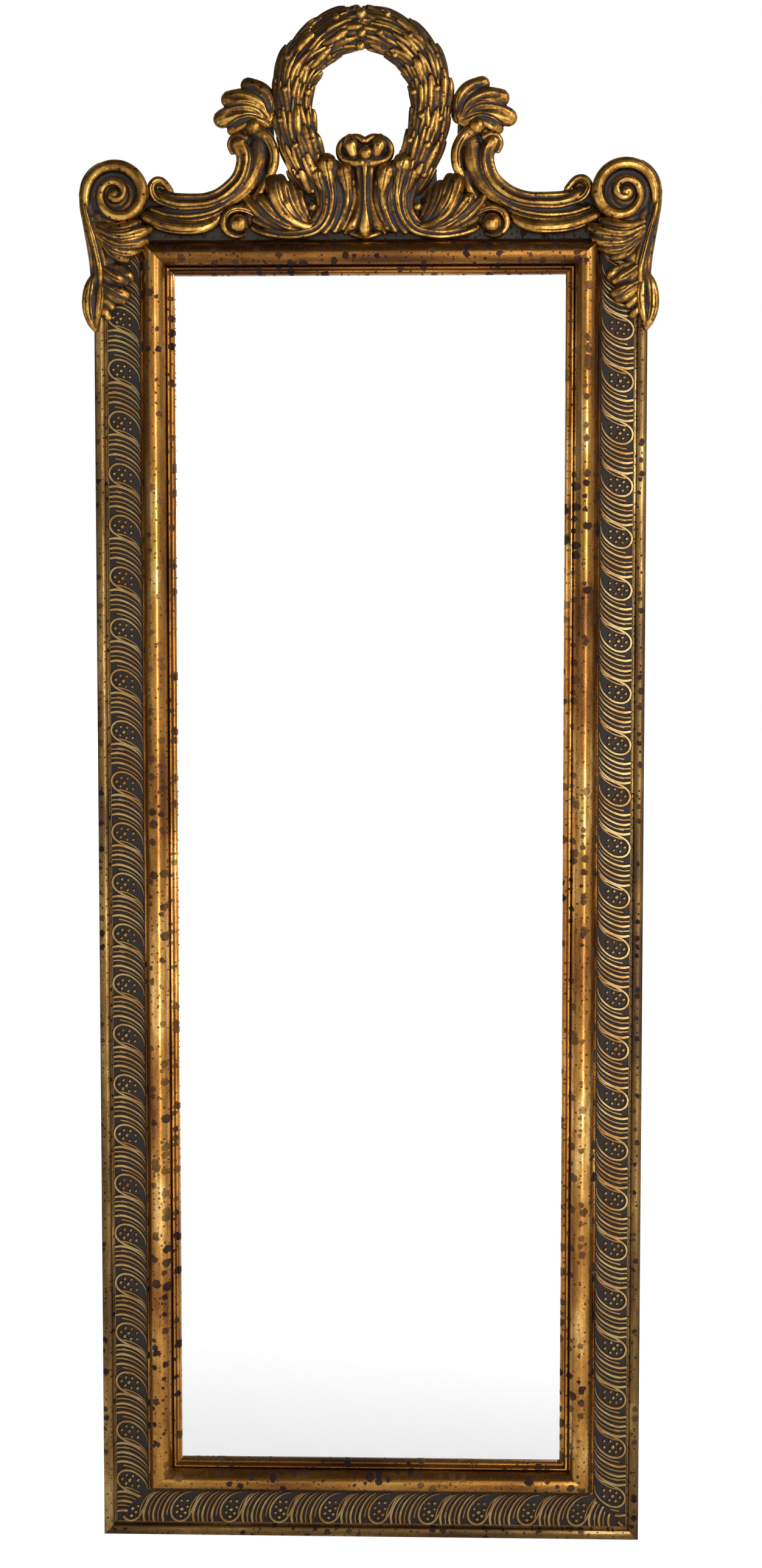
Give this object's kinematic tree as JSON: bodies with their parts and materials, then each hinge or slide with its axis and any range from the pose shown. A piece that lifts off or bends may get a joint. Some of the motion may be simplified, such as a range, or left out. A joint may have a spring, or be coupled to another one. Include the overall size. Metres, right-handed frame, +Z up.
{
  "type": "pier mirror",
  "caption": "Tall gilded pier mirror with ribbed bands, a rounded inner moulding, scrolled ears and a pierced laurel wreath crest, hung from hinged rings.",
  "frame": {"origin": "middle of the top rail's back face, on the wall plane, under the crest", "axes": "+X to the right seen from the front, +Y out of the back towards the wall, +Z up; the glass faces -Y"},
  "size_m": [0.74, 0.0593, 1.979],
  "materials": {
    "frame_wood": "stained wood with worn bronze gilding on the show faces",
    "pine": "bare planed pine",
    "backboard_wood": "aged plank",
    "band_patina": "moulded composition, dull bronze over charcoal patina",
    "moulding_gilt": "amber gold leaf with dark spots, satin",
    "carved_gilt": "burnished gold leaf with dark patina in the recesses",
    "mirror_silver": "plain silvered glass",
    "steel_screw": "dull steel",
    "hanger_brass": "aged brass",
    "ring_steel": "dull steel wire"
  },
  "bodies": {
    "frame": {"stile_left": "frame_wood", "stile_right": "frame_wood", "rail_top": "frame_wood", "rail_bottom": "frame_wood", "mitre_key_left_top": "pine", "mitre_key_right_top": "pine", "mitre_key_left_bottom": "pine", "mitre_key_right_bottom": "pine", "band_left": "band_patina", "band_right": "band_patina", "band_bottom": "band_patina", "torus_left": "moulding_gilt", "torus_right": "moulding_gilt", "torus_top": "moulding_gilt", "torus_bottom": "moulding_gilt", "slip_left": "moulding_gilt", "slip_right": "moulding_gilt", "slip_top": "moulding_gilt", "slip_bottom": "moulding_gilt", "mirror_glass": "mirror_silver", "backboard_upper": "backboard_wood", "backboard_lower": "backboard_wood", "back_brace": "pine", "glue_block_left_upper": "pine", "glue_block_left_lower": "pine", "glue_block_right_upper": "pine", "glue_block_right_lower": "pine", "clasp": "carved_gilt", "wreath": "carved_gilt", "acanthus_inner_left": "carved_gilt", "acanthus_inner_right": "carved_gilt", "boss_left": "carved_gilt", "boss_right": "carved_gilt", "acanthus_outer_left": "carved_gilt", "acanthus_outer_right": "carved_gilt", "c_scroll_left": "carved_gilt", "c_scroll_right": "carved_gilt", "long_scroll_left": "carved_gilt", "long_scroll_right": "carved_gilt", "plume_left": "carved_gilt", "plume_right": "carved_gilt", "ear_volute_left": "carved_gilt", "ear_volute_right": "carved_gilt", "ear_leaf_left": "carved_gilt", "ear_leaf_right": "carved_gilt", "crest_board": "frame_wood", "crest_batten_left": "pine", "crest_batten_right": "pine", "batten_screw_left_lower": "steel_screw", "batten_screw_left_upper": "steel_screw", "batten_screw_right_lower": "steel_screw", "batten_screw_right_upper": "steel_screw", "hanger_plate_left": "hanger_brass", "hanger_plate_right": "hanger_brass", "hanger_screw_left_upper": "steel_screw", "hanger_screw_left_lower": "steel_screw", "hanger_screw_right_upper": "steel_screw", "hanger_screw_right_lower": "steel_screw"},
    "left_ring": {"d_ring_left": "ring_steel"},
    "right_ring": {"d_ring_right": "ring_steel"}
  },
  "joints": [
    {"name": "left_ring_swing", "type": "hinge", "parent": "frame", "child": "left_ring", "pos_m": [-0.304, -0.0049, -0.24825], "axis": [1, 0, 0], "range_deg": [0, 180]},
    {"name": "right_ring_swing", "type": "hinge", "parent": "frame", "child": "right_ring", "pos_m": [0.304, -0.0049, -0.24825], "axis": [1, 0, 0], "range_deg": [0, 180]}
  ]
}
